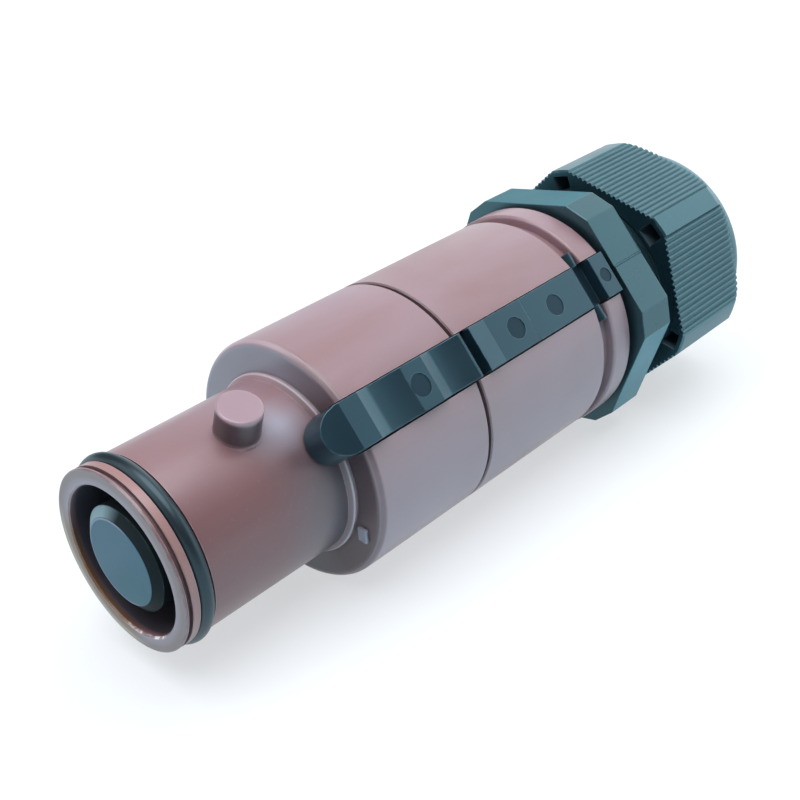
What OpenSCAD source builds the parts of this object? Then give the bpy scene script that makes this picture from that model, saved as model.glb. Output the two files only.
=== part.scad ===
// Single pole power connector: a source plug with one large pin contact in a bayonet nose,
// two moulded barrel shells, a locking latch and a cable gland.
// Sizes are in millimetres. The axis of the plug lies along X, from the mouth at 0 to the
// cable end, and +Z is up as the plug lies on a table.

/* [Barrel] */
// Outer diameter of both barrel shells
barrel_d = 52; // [51:0.5:54]
// Length of the front barrel, from the shoulder to the joint groove
front_barrel_length = 31.4; // [29:0.2:36]
// Length of the rear barrel, from the joint groove to the rear groove
rear_barrel_length = 39.1; // [38:0.1:46]
// Width of the shadow groove where the two shells meet
joint_groove_w = 0.9; // [0.5:0.1:1.2]
// Depth of the shadow groove where the two shells meet
joint_groove_depth = 1.4; // [0.8:0.1:1.6]
// Width of the groove in front of the rear rim
rear_groove_w = 3.2; // [3.1:0.1:4]
// Depth of the groove in front of the rear rim
rear_groove_depth = 1.8; // [1.2:0.1:2]
// Length of the rear rim
rim_length = 6.2; // [5.6:0.1:8]
// Height of the rear rim above the barrel
rim_rise = 0.4; // [0.2:0.1:0.8]
// Radius on the outer edge of the shoulder
shoulder_edge_r = 1.5; // [0.8:0.1:2]
// Radius on the edges of the rear rim
rim_edge_r = 0.7; // [0.4:0.1:1.0]

/* [Nose] */
// Outer diameter of the nose tube
nose_d = 37.2; // [36.8:0.2:38]
// Length of the nose in front of the shoulder
nose_length = 40.6; // [39:0.2:46]
// Wall of the nose tube
nose_wall = 3.25; // [2.8:0.05:3.5]
// Depth of the open cavity behind the mouth
cavity_depth = 36; // [33:0.5:37]
// Section diameter of the sealing ring on the nose
nose_ring_section = 3; // [2.4:0.1:3.2]
// Height of the sealing ring above the nose tube
nose_ring_proud = 0.9; // [0.7:0.1:1.2]
// Distance of the sealing ring behind the mouth
nose_ring_x = 4.8; // [4.4:0.1:8]
// Thickness of the thin lip at the mouth, in front of its shadow line
lip_thickness = 0.6; // [0.5:0.1:0.9]
// Width of the shadow line behind the lip
lip_line_w = 0.9; // [0.6:0.1:1.4]
// Depth of the shadow line behind the lip
lip_line_depth = 0.9; // [0.4:0.1:1.1]
// Height of the small collar at the root of the nose
root_collar_rise = 1; // [0.6:0.1:1.2]
// Width of the small collar at the root of the nose
root_collar_w = 0.6; // [0.5:0.1:1.5]

/* [Bayonet] */
// Number of bayonet lugs around the nose
lug_count = 2; // [2:1:3]
// Diameter of a bayonet lug
lug_d = 8.8; // [7.6:0.2:9]
// Height of a bayonet lug above the nose tube
lug_height = 6.2; // [5:0.1:6.8]
// Distance of the bayonet lugs behind the mouth
lug_x = 25.2; // [22:0.1:27]
// Angle of the first lug, from the top towards the latch side
lug_angle = 19; // [12:1:20]

/* [Contact] */
// Diameter of the pin contact
pin_d = 21.6; // [20.6:0.1:22]
// Diameter of the flat face of the insulating tip
tip_face_d = 17.7; // [16:0.1:19]
// Length of the bevel round the insulating tip
tip_bevel = 1.4; // [0.6:0.1:1.8]
// Length of the insulating tip
tip_length = 9; // [7:0.5:12]
// Diameter of the stem that holds the tip in the pin
tip_stem_d = 6; // [5:0.5:8]
// Length of the stem that holds the tip in the pin
tip_stem_length = 7; // [5:0.5:9]
// Bore for the stripped conductor
conductor_bore_d = 17.5; // [16:0.1:18]
// Depth of the bore for the stripped conductor
conductor_bore_depth = 26; // [25:0.5:27]
// Diameter of the two conductor clamping screws
screw_d = 8; // [7:0.5:8.5]
// Distance between the two clamping screws
screw_pitch = 11; // [10:0.5:12]
// Distance from the rear clamping screw to the end of the conductor barrel
screw_end_x = 7.5; // [6.5:0.5:8]
// Socket of the clamping screws, across its flats
screw_socket_af = 4; // [3:0.5:5]

/* [Insulation] */
// Thickness of the wall that closes the cavity
web_thickness = 8; // [7:0.5:9]
// Wall of the insulating carrier
carrier_wall = 2.9; // [2.6:0.1:3.2]
// Length of the insulating carrier
carrier_length = 38; // [37.5:0.5:39]
// Front wall of the carrier, against which the contact stops
carrier_front_wall = 6; // [5:0.5:7]
// Distance of the carrier's sealing ring behind its front end
carrier_seal_offset = 11.4; // [8:0.2:14]
// Thickness of the ring that keeps the contact in
keeper_thickness = 4; // [3:0.5:5]
// Overlap of that ring over the end of the conductor barrel
keeper_overlap = 3.4; // [2.4:0.1:4]
// Section diameter of the two inner sealing rings
inner_ring_section = 2.4; // [2.0:0.1:2.6]
// Section diameter of the thin sealing rings on the carrier and the shell joint
thin_ring_section = 1.7; // [1.4:0.1:1.8]

/* [Shell joint] */
// Wall of the spigot that plugs into the rear shell
spigot_wall = 3.4; // [3:0.1:3.8]
// Wall of the rear shell between the spigot and the latch channel
channel_wall = 1.7; // [1.5:0.1:2]
// Length of that spigot
spigot_length = 15.2; // [15:0.2:17]
// Distance of its sealing ring behind the joint groove
joint_ring_x = 5; // [4:0.5:8]

/* [Latch] */
// Angle of the latch, from the top towards the side
latch_angle = 51; // [45:1:58]
// Width of the latch strip
latch_w = 9.6; // [8.8:0.2:10.4]
// Depth of the latch channel in the barrel
channel_depth = 3.8; // [3.6:0.1:4]
// Height of the latch above the barrel
latch_rise = 1; // [0.6:0.1:1.4]
// Length by which the latch tip reaches over the nose
latch_overhang = 6.8; // [5.8:0.1:7.5]
// Drop of the slope towards the latch tip
tip_drop = 1.8; // [1.2:0.1:2.4]
// Depth of the two finger scoops
scoop_depth = 1.1; // [0.6:0.1:1.4]
// Distance from the shoulder to the front scoop
front_scoop_x = 3.7; // [3:0.1:5]
// Length of the front scoop
front_scoop_length = 11.6; // [8:0.2:12]
// Length of the rear scoop, which ends at the release notch
rear_scoop_length = 10.4; // [8:0.2:11]
// Height of the finger lip at the end of the rear scoop
finger_lip = 0.6; // [0.3:0.1:1]
// Width of the release notch behind the front part
notch_w = 3.2; // [2.4:0.1:4]
// Depth of the release notch
notch_depth = 3; // [2.4:0.1:3.2]
// Length of the ramp behind the release notch
ramp_length = 5.3; // [4:0.1:7]
// Drop of the ramp behind the release notch
ramp_drop = 0.7; // [0.4:0.1:1]
// Distance of the small step in the rear part behind the joint groove
step_x = 19.6; // [16:0.2:24]
// Height of the small step in the rear part
step_drop = 0.15; // [0.1:0.05:0.3]
// Diameter of the cross bar on which the latch turns
pivot_d = 2.6; // [2.4:0.1:3.0]
// Length of the cross bar
pivot_length = 16.6; // [15:0.2:17]
// Depth of the cross bar's centre below the surface of the barrel
pivot_depth = 2; // [1.6:0.1:2.1]
// Length of the recess in front of the cross bar
recess_front = 2.3; // [1.9:0.1:3.4]
// Length of the recess behind the cross bar
recess_rear = 2.6; // [2.2:0.1:3.2]
// Thickness of the latch under the recess
recess_web = 1.2; // [1:0.1:1.6]
// Diameter of the round ejector marks
mark_d = 4.8; // [3.6:0.2:5.4]
// Depth of the round ejector marks
mark_depth = 0.15; // [0.1:0.05:0.3]
// Diameter of the smaller ejector mark on the tab
tab_mark_d = 3.4; // [2.4:0.2:3.8]
// Distance of the front ejector mark before the joint groove
front_mark_x = 14.6; // [13:0.2:15.8]
// Distance of the middle ejector mark behind the joint groove
middle_mark_x = 15.1; // [11:0.2:17]
// Distance of the rear ejector mark behind the joint groove
rear_mark_x = 28.3; // [24:0.2:32]

/* [Gland body] */
// Diameter of the gland's mounting thread
gland_thread_d = 38.4; // [37.4:0.2:38.6]
// Length of the gland's mounting thread
gland_thread_length = 16; // [14:0.5:17]
// Depth of the plain relief at the root of the mounting thread
thread_relief_depth = 0.7; // [0.4:0.1:1]
// Length of the plain relief at the root of the mounting thread
thread_relief = 2; // [1:0.1:3]
// Thickness of the gasket under the gland's flange
gasket_thickness = 1.2; // [0.8:0.1:1.4]
// Distance from the flats of the flange in to the edge of the gasket
gasket_margin = 3; // [2:0.1:3.4]
// Hexagonal flange of the gland, across its flats
flange_af = 53.8; // [53.4:0.2:56]
// Thickness of the hexagonal flange
flange_thickness = 10.2; // [9:0.2:12]
// Half of the angle that each cut corner of the flange takes
flange_corner_angle = 6; // [4:0.5:9]
// Turn of the flange's first corner from the top
flange_turn = 20; // [10:1:30]
// Height of the fine parting ridges on two flats of the flange
parting_ridge = 0.15; // [0.1:0.05:0.3]
// Bore through the gland body
gland_bore_d = 29.2; // [28.4:0.2:30]
// Diameter of the seat for the clamping cage in the gland body
cage_seat_d = 36.8; // [36.4:0.2:37.4]
// Diameter of the gland's neck, over its thread
neck_d = 45; // [44:0.2:45.6]
// Length of the gland's neck behind the flange
neck_length = 19.4; // [18:0.2:20]
// Length of the plain relief at the root of the neck
neck_relief = 3.4; // [2.4:0.2:4]
// Depth of the plain relief at the root of the neck
neck_relief_depth = 0.9; // [0.5:0.1:1.2]
// Depth of the cage seat below the end of the flange
cage_seat_depth = 2.6; // [2:0.1:4]

/* [Clamping cage] */
// Wall of the clamping cage
cage_wall = 1.7; // [1.5:0.1:2]
// Length of the clamping cage
cage_length = 28.8; // [28:0.2:29]
// Length of the clamping fingers
finger_length = 18; // [14:0.5:20]
// Number of clamping fingers
finger_count = 12; // [8:1:16]
// Width of the slots between the fingers
finger_slot = 1.6; // [1.0:0.1:2]
// Length of the bevel on the finger tips
finger_bevel = 2.2; // [1.5:0.1:3]
// Wall of the sealing bush
bush_wall = 2.5; // [2.2:0.1:3.4]
// Length of the sealing bush
bush_length = 27; // [24:0.5:27.5]

/* [Gland nut] */
// Gap between the flange and the nut, as far as the nut is backed off
nut_gap = 7.2; // [7:0.2:8]
// Travel by which the nut can be tightened
nut_travel = 4; // [3:0.5:4]
// Length of the nut
nut_length = 34; // [34:0.5:38]
// Gland nut, across its ribbed flats
nut_af = 53.4; // [53:0.2:55]
// Half of the angle that each smooth corner band of the nut takes
nut_corner_angle = 5; // [4:0.5:7]
// Turn of the nut's first corner from the top
nut_turn = 45; // [30:1:60]
// Number of ribs on each flat of the nut
rib_count = 17; // [9:1:20]
// Depth of the valleys between the ribs
rib_depth = 0.5; // [0.3:0.05:0.6]
// Depth of the pockets that core out the nut's corners from its front face
pocket_depth = 10; // [6:0.5:14]
// Width of those pockets
pocket_w = 4.4; // [3.6:0.2:4.6]
// Wall between a pocket and its corner band
pocket_skin = 1.5; // [1.4:0.1:2]
// Wall between a pocket and the thread of the nut
pocket_wall = 1.4; // [1.2:0.1:1.8]
// Length of the ribbed part of the nut
ribbed_length = 26.4; // [25:0.2:26.6]
// Radius on the rear ends of the ribs
rib_end_r = 4; // [3:0.5:4.5]
// Diameter of the smooth collar behind the ribs
dome_d = 50; // [49:0.5:51]
// Depth of the dark groove between the ribs and the collar
collar_groove_depth = 0.6; // [0.3:0.1:0.9]
// Width of the dark groove between the ribs and the collar
collar_groove_w = 0.8; // [0.5:0.1:1.2]
// Radius on the cable end of the nut
dome_r = 5; // [4:0.5:5]
// Bore for the cable at the end of the nut
cable_bore_d = 31.2; // [30:0.2:32]
// Widening of the bore towards the cable end
mouth_flare = 1.6; // [1:0.1:2]
// Length of that widening
mouth_length = 4; // [2:0.1:5]
// Thickness of the sliding washer in the nut
washer_thickness = 1.2; // [1:0.1:1.4]
// Diameter of the sliding washer in the nut
washer_d = 38.4; // [37.4:0.2:39]

/* [Fits] */
// Gap in radius between pieces that plug into each other and stay put
fit_gap = 0.1; // [0.05:0.01:0.15]
// Gap in radius where one piece turns on another
running_gap = 0.05; // [0.03:0.01:0.1]
// Free gap around pieces that move
free_gap = 0.4; // [0.3:0.05:0.5]

/* [Hidden] */

$fn = 96;
cut = 1;
shell_brown = "#8a6a6c";
shell_black = "#2f4148";
rubber_black = "#1d1f22";
silver = "#c9c9c4";
carrier_grey = "#9a9a92";
brass_yellow = "#b59a54";

// Stations along the axis
shoulder_x = nose_length;
web_end_x = cavity_depth + web_thickness;
land_x = shoulder_x + front_barrel_length;
joint_x = land_x + joint_groove_w;
spigot_end_x = joint_x + spigot_length;
groove_x = joint_x + rear_barrel_length;
rim_x = groove_x + rear_groove_w;
rear_end_x = rim_x + rim_length;
contact_stop_x = web_end_x + carrier_front_wall;
carrier_end_x = web_end_x + carrier_length;
flange_x = rear_end_x + gasket_thickness;
flange_end_x = flange_x + flange_thickness;
neck_end_x = flange_end_x + neck_length;
nut_x = flange_end_x + nut_gap;
nut_end_x = nut_x + nut_length;
pivot_x = groove_x + rear_groove_w / 2;

// Radii
barrel_r = barrel_d / 2;
nose_r = nose_d / 2;
nose_bore_r = nose_r - nose_wall;
root_collar_r = nose_r + root_collar_rise;
channel_floor = barrel_r - channel_depth;
latch_top = barrel_r + latch_rise;
pivot_h = barrel_r - pivot_depth;
rear_bore_r = channel_floor - channel_wall;
rear_chamber_r = rear_bore_r - 1;
spigot_r = rear_bore_r - fit_gap;
chamber_r = spigot_r - spigot_wall;
carrier_r = chamber_r - fit_gap;
carrier_bore_r = carrier_r - carrier_wall;
contact_barrel_r = carrier_bore_r - fit_gap;
pin_r = pin_d / 2;
conductor_bore_r = conductor_bore_d / 2;
gland_thread_r = gland_thread_d / 2;
gland_hole_r = gland_thread_r + fit_gap;
rim_r = barrel_r + rim_rise;
barrel_bevel = 0.3;
side_angle = 360 / 6;
half_side = side_angle / 2;

// Points of a circular arc in a profile
function arc(cx, cy, r, from, to, steps = 5) =
    [for (i = [0:steps]) let (a = from + (to - from) * i / steps) [cx + r * cos(a), cy + r * sin(a)]];

// A point of a cross section, at an angle from the top towards the latch side
function around(angle, r) = [-r * cos(angle), -r * sin(angle)];

// A solid of revolution on the axis, from a profile of [radius, station] points
module turned(profile) {
    rotate([0, 90, 0]) rotate_extrude() polygon(profile);
}

// A plain ring on the axis
module ring(from, to, r_in, r_out) {
    turned([[r_in, from], [r_out, from], [r_out, to], [r_in, to]]);
}

// A round sealing ring on the axis
module seal_ring(x, r_in, section) {
    rotate([0, 90, 0]) rotate_extrude() translate([r_in + section / 2, x]) circle(d = section, $fn = 32);
}

// A prism along the axis, from a cross section
module prism(from, to) {
    translate([from, 0, 0]) rotate([0, 90, 0]) linear_extrude(to - from) children();
}

// Turns what stands above the axis to the latch side
module at_latch() {
    rotate([latch_angle, 0, 0]) children();
}

// Channel of the latch
channel_w = latch_w + 2 * free_gap;
module latch_channel(from, to) {
    at_latch() translate([from, -channel_w / 2, channel_floor]) cube([to - from, channel_w, barrel_r]);
}

// Nose and front barrel
land_start_x = lip_thickness + lip_line_w;
nose_ring_r = nose_r + nose_ring_proud - nose_ring_section;
web_gap = 0.3;
pin_step = 0.5;
web_bore_r = pin_r + web_gap;
neck_pin_r = pin_r - pin_step;
pin_step_x = cavity_depth - pin_step;
seal_x = (cavity_depth + web_end_x) / 2;
seal_groove_r = neck_pin_r + 2 * running_gap + inner_ring_section;
joint_seal_r = spigot_r - thin_ring_section;
lip_bevel = 0.3;
collar_cone_x = shoulder_x - root_collar_w - root_collar_rise;
nose_ring_groove = nose_ring_section / 2 + 0.15;
inner_ring_groove = inner_ring_section / 2 + fit_gap;
thin_ring_groove = thin_ring_section / 2 + fit_gap;
joint_seal_x = joint_x + joint_ring_x;
spigot_bevel = 0.8;

module lug_body() {
    flare = 0.4;
    edge = 0.5;
    lug_r = lug_d / 2;
    base = nose_bore_r + 1.2;
    top = nose_r + lug_height;
    translate([lug_x, 0, 0]) rotate_extrude($fn = 64) polygon(concat(
        [[0, base], [lug_r + flare, base]],
        arc(lug_r + flare, nose_r, flare, 270, 180),
        arc(lug_r - edge, top - edge, edge, 0, 90),
        [[0, top]]));
}

module front_shell() {
    color(shell_brown) difference() {
        union() {
            turned(concat(
                [[nose_bore_r + lip_bevel, 0]],
                arc(nose_r - lip_bevel, lip_bevel, lip_bevel, 270, 360, 3),
                [[nose_r, lip_thickness], [nose_r - lip_line_depth, lip_thickness],
                 [nose_r - lip_line_depth, land_start_x], [nose_r, land_start_x],
                 [nose_r, collar_cone_x],
                 [root_collar_r, shoulder_x - root_collar_w], [root_collar_r, shoulder_x]],
                arc(barrel_r - shoulder_edge_r, shoulder_x + shoulder_edge_r, shoulder_edge_r, 270, 360, 6),
                [[barrel_r, land_x - barrel_bevel], [barrel_r - barrel_bevel, land_x],
                 [barrel_r - joint_groove_depth, land_x],
                 [barrel_r - joint_groove_depth, joint_x], [spigot_r, joint_x],
                 [spigot_r, spigot_end_x - spigot_bevel], [spigot_r - spigot_bevel, spigot_end_x],
                 [chamber_r, spigot_end_x], [chamber_r, web_end_x], [web_bore_r, web_end_x],
                 [web_bore_r, cavity_depth], [nose_bore_r, cavity_depth], [nose_bore_r, lip_bevel]]));
            for (i = [0:lug_count - 1]) rotate([lug_angle + i * 360 / lug_count, 0, 0]) lug_body();
        }
        ring(nose_ring_x - nose_ring_groove, nose_ring_x + nose_ring_groove, nose_ring_r, nose_r + cut);
        ring(seal_x - inner_ring_groove, seal_x + inner_ring_groove, web_bore_r - cut, seal_groove_r);
        ring(joint_seal_x - thin_ring_groove, joint_seal_x + thin_ring_groove, joint_seal_r, spigot_r + cut);
        latch_channel(shoulder_x - cut, joint_x + fit_gap);
    }
}

// Rear barrel, with the groove, the rim and the thread of the cable gland
module rear_housing() {
    floor_r = barrel_r - rear_groove_depth;
    thread_run_out = 1.4;
    groove_edge = 0.4;
    hole_x = rear_end_x - gland_thread_length - thread_run_out;
    color(shell_brown) difference() {
        turned(concat(
            [[rear_bore_r, joint_x], [barrel_r - barrel_bevel, joint_x], [barrel_r, joint_x + barrel_bevel],
             [barrel_r, groove_x - groove_edge], [barrel_r - barrel_bevel, groove_x], [floor_r, groove_x],
             [floor_r, rim_x], [rim_r - rim_edge_r, rim_x]],
            arc(rim_r - rim_edge_r, rim_x + rim_edge_r, rim_edge_r, 270, 360, 4),
            arc(rim_r - rim_edge_r, rear_end_x - rim_edge_r, rim_edge_r, 0, 90, 4),
            [[gland_hole_r, rear_end_x], [gland_hole_r, hole_x], [rear_chamber_r, hole_x],
             [rear_chamber_r, spigot_end_x + free_gap], [rear_bore_r, spigot_end_x + free_gap]]));
        latch_channel(joint_x - cut, rear_end_x + cut);
        at_latch() {
            translate([pivot_x, 0, pivot_h]) rotate([90, 0, 0])
                cylinder(r = pivot_d / 2 + running_gap, h = pivot_length + 2 * free_gap, center = true);
            translate([pivot_x - pivot_d / 2 - running_gap, -pivot_length / 2 - free_gap, pivot_h])
                cube([pivot_d + 2 * running_gap, pivot_length + 2 * free_gap, barrel_r]);
        }
    }
}

module nose_o_ring() {
    color(rubber_black) seal_ring(nose_ring_x, nose_ring_r, nose_ring_section);
}

module housing_joint_seal() {
    color(rubber_black) seal_ring(joint_seal_x, joint_seal_r, thin_ring_section);
}

// Insulating tip, which keeps fingers off the live pin
module contact_tip_cap() {
    color(shell_black) turned([[0, 0], [tip_face_d / 2, 0], [pin_r, tip_bevel], [pin_r, tip_length],
        [tip_stem_d / 2, tip_length], [tip_stem_d / 2, tip_length + tip_stem_length],
        [0, tip_length + tip_stem_length]]);
}

// Pin contact with its conductor barrel
screw_rear_x = carrier_end_x - screw_end_x;
screw_front_x = screw_rear_x - screw_pitch;
module contact_pin() {
    bore_x = carrier_end_x - conductor_bore_depth;
    stem_r = tip_stem_d / 2 + running_gap;
    stem_end_x = tip_length + tip_stem_length + free_gap;
    end_bevel = 1;
    color(silver) difference() {
        turned([[stem_r, tip_length], [pin_r, tip_length], [pin_r, pin_step_x - pin_step],
            [neck_pin_r, pin_step_x], [neck_pin_r, contact_stop_x],
            [contact_barrel_r, contact_stop_x], [contact_barrel_r, carrier_end_x - end_bevel],
            [contact_barrel_r - end_bevel, carrier_end_x], [conductor_bore_r, carrier_end_x],
            [conductor_bore_r, bore_x], [0, bore_x - conductor_bore_r / 2], [0, stem_end_x],
            [stem_r, stem_end_x]]);
        for (x = [screw_front_x, screw_rear_x]) translate([x, 0, 0])
            cylinder(r = screw_d / 2 + running_gap, h = contact_barrel_r + cut);
    }
}

module clamp_screw(x) {
    top = sqrt(pow(contact_barrel_r, 2) - pow(screw_d / 2, 2)) - fit_gap;
    foot = conductor_bore_r + fit_gap;
    socket_r = screw_socket_af / 2 / cos(half_side);
    color(brass_yellow) translate([x, 0, foot]) difference() {
        cylinder(d = screw_d, h = top - foot, $fn = 48);
        translate([0, 0, (top - foot) / 2]) cylinder(r = socket_r, h = top, $fn = 6);
    }
}

module clamp_screw_front() {
    clamp_screw(screw_front_x);
}

module clamp_screw_rear() {
    clamp_screw(screw_rear_x);
}

module contact_seal() {
    color(rubber_black) seal_ring(seal_x, neck_pin_r + running_gap, inner_ring_section);
}

// Insulating carrier around the conductor barrel
carrier_seal_x = web_end_x + carrier_seal_offset;
carrier_seal_r = carrier_r + running_gap - thin_ring_section;
module contact_carrier() {
    bevel = 0.6;
    neck_bore_r = pin_r + fit_gap;
    color(carrier_grey) turned([[neck_bore_r, web_end_x], [carrier_r - bevel, web_end_x],
        [carrier_r, web_end_x + bevel],
        [carrier_r, carrier_seal_x - thin_ring_groove], [carrier_seal_r, carrier_seal_x - thin_ring_groove],
        [carrier_seal_r, carrier_seal_x + thin_ring_groove], [carrier_r, carrier_seal_x + thin_ring_groove],
        [carrier_r, carrier_end_x], [carrier_bore_r, carrier_end_x], [carrier_bore_r, contact_stop_x],
        [neck_bore_r, contact_stop_x]]);
}

module carrier_seal() {
    color(rubber_black) seal_ring(carrier_seal_x, carrier_seal_r, thin_ring_section);
}

// Threaded ring that keeps the carrier and the contact in the shell
module contact_retaining_ring() {
    key_d = 2.4;
    keeper_bore_r = contact_barrel_r - keeper_overlap;
    key_r = (keeper_bore_r + chamber_r) / 2;
    color(brass_yellow) difference() {
        ring(carrier_end_x, carrier_end_x + keeper_thickness, keeper_bore_r, carrier_r + running_gap);
        for (a = [0:90:270]) rotate([a, 0, 0]) translate([carrier_end_x - cut, 0, key_r])
            rotate([0, 90, 0]) cylinder(d = key_d, h = keeper_thickness + 2 * cut, $fn = 32);
    }
}

// Latch strip, drawn from the side: station along the axis against height above it
latch_floor = channel_floor + free_gap;
tip_floor = nose_r + free_gap;
collar_floor = root_collar_r + free_gap;
collar_x = collar_cone_x - free_gap;
tip_x = shoulder_x - latch_overhang;
tip_slope_x = shoulder_x - 1;
front_part_end_x = joint_x - 0.3;
finger_lip_x = front_part_end_x - finger_lip;
lip_top = latch_top + finger_lip;
notch_end_x = front_part_end_x + notch_w;
notch_floor = latch_top - notch_depth;
ramp_end_x = notch_end_x + ramp_length;
middle_top = latch_top - ramp_drop;
rear_top = middle_top - step_drop;
strip_end_x = pivot_x - recess_front;
recess_floor = latch_floor + recess_web;
tab_x = pivot_x + recess_rear;
tab_top = latch_top - 0.1;
tab_end_x = rear_end_x - fit_gap;
tab_undercut = 1.8;
tab_floor = latch_floor + tab_undercut;
web_x = tab_x + free_gap;
front_scoop_end_x = shoulder_x + front_scoop_x + front_scoop_length;

// A finger scoop: a short fall, then a long hollow rise to its rear edge
function scoop(from, to, end, steps = 10) = let (low = latch_top - scoop_depth, fall = (to - from) / 4)
    concat([[from, latch_top]], [for (i = [0:steps]) let (t = i / steps)
        [from + fall + (to - from - fall) * t, low + (end - low) * t * t]]);

latch_side = concat(
    [[tip_x, tip_floor], [tip_x, latch_top - tip_drop], [tip_slope_x, latch_top]],
    scoop(shoulder_x + front_scoop_x, front_scoop_end_x, latch_top + step_drop),
    [[front_scoop_end_x, latch_top]],
    scoop(finger_lip_x - rear_scoop_length, finger_lip_x, lip_top),
    [[front_part_end_x, lip_top], [front_part_end_x, notch_floor], [notch_end_x, notch_floor],
     [notch_end_x, latch_top], [ramp_end_x, middle_top], [joint_x + step_x, middle_top],
     [joint_x + step_x, rear_top], [strip_end_x, rear_top], [strip_end_x, recess_floor],
     [tab_x, recess_floor], [tab_x, tab_top], [tab_end_x, tab_top],
     [tab_end_x, tab_floor], [web_x, tab_floor], [web_x, latch_floor],
     [shoulder_x - free_gap, latch_floor], [shoulder_x - free_gap, collar_floor],
     [collar_x, collar_floor], [collar_x, tip_floor]]);

module latch_lever() {
    half_w = latch_w / 2;
    marks = [[joint_x - front_mark_x, latch_top, mark_d], [joint_x + middle_mark_x, middle_top, mark_d],
        [joint_x + rear_mark_x, rear_top, mark_d], [(tab_x + tab_end_x) / 2, tab_top, tab_mark_d]];
    color(shell_black) at_latch() difference() {
        union() {
            intersection() {
                rotate([90, 0, 0]) linear_extrude(latch_w, center = true) polygon(latch_side);
                linear_extrude(barrel_d) union() {
                    translate([tip_x + half_w, 0]) circle(r = half_w);
                    translate([tip_x + half_w, -half_w]) square([tab_end_x - tip_x, latch_w]);
                }
            }
            translate([pivot_x, 0, pivot_h]) rotate([90, 0, 0])
                cylinder(d = pivot_d, h = pivot_length, center = true);
        }
        for (m = marks) translate([m[0], 0, m[1] - mark_depth]) cylinder(d = m[2], h = barrel_d, $fn = 48);
        translate([strip_end_x, -half_w, recess_floor]) cube([tab_x - strip_end_x, latch_w, barrel_r]);
    }
}

// Hexagon with cut corners, as a cross section
module cut_hexagon(af, corner_angle, turn) {
    r = af / 2 / cos(half_side - corner_angle);
    polygon([for (k = [0:5]) for (side = [-1, 1]) around(turn + side_angle * k + side * corner_angle, r)]);
}

// Gland body: mounting thread, flange and neck
neck_r = neck_d / 2;
cage_floor_x = flange_end_x - cage_seat_depth;
module gland_body() {
    bore_r = gland_bore_d / 2;
    seat_r = cage_seat_d / 2;
    start_x = rear_end_x - gland_thread_length;
    root_x = flange_x - thread_relief;
    root_r = gland_thread_r - thread_relief_depth;
    neck_root_r = neck_r - neck_relief_depth;
    neck_thread_x = flange_end_x + neck_relief;
    thread_bevel = 1;
    neck_bevel = 0.8;
    ridge_w = 0.4;
    ridge_h = flange_af / 2 + parting_ridge;
    color(shell_black) difference() {
        union() {
            for (turn = [0, 180]) rotate([flange_turn + half_side + turn, 0, 0])
                translate([flange_x, -ridge_w / 2, neck_r])
                    cube([flange_thickness, ridge_w, ridge_h - neck_r]);
            turned([[0, start_x], [gland_thread_r - thread_bevel, start_x],
                [gland_thread_r, start_x + thread_bevel], [gland_thread_r, root_x], [root_r, root_x],
                [root_r, flange_x + cut], [0, flange_x + cut]]);
            prism(flange_x, flange_end_x) cut_hexagon(flange_af, flange_corner_angle, flange_turn);
            turned([[0, flange_end_x - cut], [neck_root_r, flange_end_x - cut],
                [neck_root_r, neck_thread_x], [neck_r, neck_thread_x + neck_relief_depth],
                [neck_r, neck_end_x - neck_bevel], [neck_r - neck_bevel, neck_end_x], [0, neck_end_x]]);
        }
        turned([[0, start_x - cut], [bore_r + cut, start_x - cut], [bore_r, start_x],
            [bore_r, cage_floor_x], [seat_r, cage_floor_x], [seat_r, neck_end_x + cut],
            [0, neck_end_x + cut]]);
    }
}

module gland_gasket() {
    color(rubber_black) ring(rear_end_x, flange_x, gland_hole_r + fit_gap, flange_af / 2 - gasket_margin);
}

// Cage of springy fingers that the nut closes on the sealing bush
cage_r = cage_seat_d / 2 - fit_gap;
cage_bore_r = cage_r - cage_wall;
cage_end_x = cage_floor_x + cage_length;
module clamping_cage() {
    finger_x = cage_end_x - finger_length;
    finger_tip = cage_wall * 0.4;
    color(shell_black) difference() {
        turned([[cage_bore_r, cage_floor_x], [cage_r, cage_floor_x], [cage_r, cage_end_x - finger_bevel],
            [cage_bore_r + finger_tip, cage_end_x], [cage_bore_r, cage_end_x]]);
        for (i = [0:finger_count - 1]) rotate([(i + 0.5) * 360 / finger_count, 0, 0])
            translate([finger_x, -finger_slot / 2, cage_bore_r - cut])
                cube([finger_length + cut, finger_slot, cage_wall + 2 * cut]);
    }
}

// Rubber bush with two soft lips inside
module sealing_bush() {
    r_out = cage_bore_r - fit_gap;
    r_in = r_out - bush_wall;
    r_hollow = r_in + 0.6;
    end_x = cage_floor_x + bush_length;
    lip = bush_length / 5;
    slope = r_hollow - r_in;
    entry = 1.2;
    color(rubber_black) turned([[r_in, cage_floor_x], [r_out, cage_floor_x], [r_out, end_x],
        [r_hollow, end_x], [r_in, end_x - entry], [r_in, end_x - lip], [r_hollow, end_x - lip - slope],
        [r_hollow, end_x - 2 * lip], [r_in, end_x - 2 * lip - slope], [r_in, end_x - 3 * lip],
        [r_hollow, end_x - 3 * lip - slope], [r_hollow, end_x - 4 * lip], [r_in, end_x - 4 * lip - slope]]);
}

// Sliding washer between the fingers and the nut
nut_thread_r = neck_r + running_gap;
washer_x = cage_end_x + nut_travel + free_gap;
washer_end_x = washer_x + washer_thickness;
washer_seat_r = washer_d / 2 + running_gap;
module thrust_washer() {
    color(carrier_grey) ring(washer_x, washer_end_x, cable_bore_d / 2 + free_gap, washer_d / 2);
}

// Cross section of the nut: smooth corner bands and ribbed flats between them
nut_corner_r = nut_af / 2 / cos(half_side - nut_corner_angle);
nut_flat_half = nut_corner_r * sin(half_side - nut_corner_angle);
rib_pitch = 2 * nut_flat_half / (rib_count + 0.6);

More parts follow.
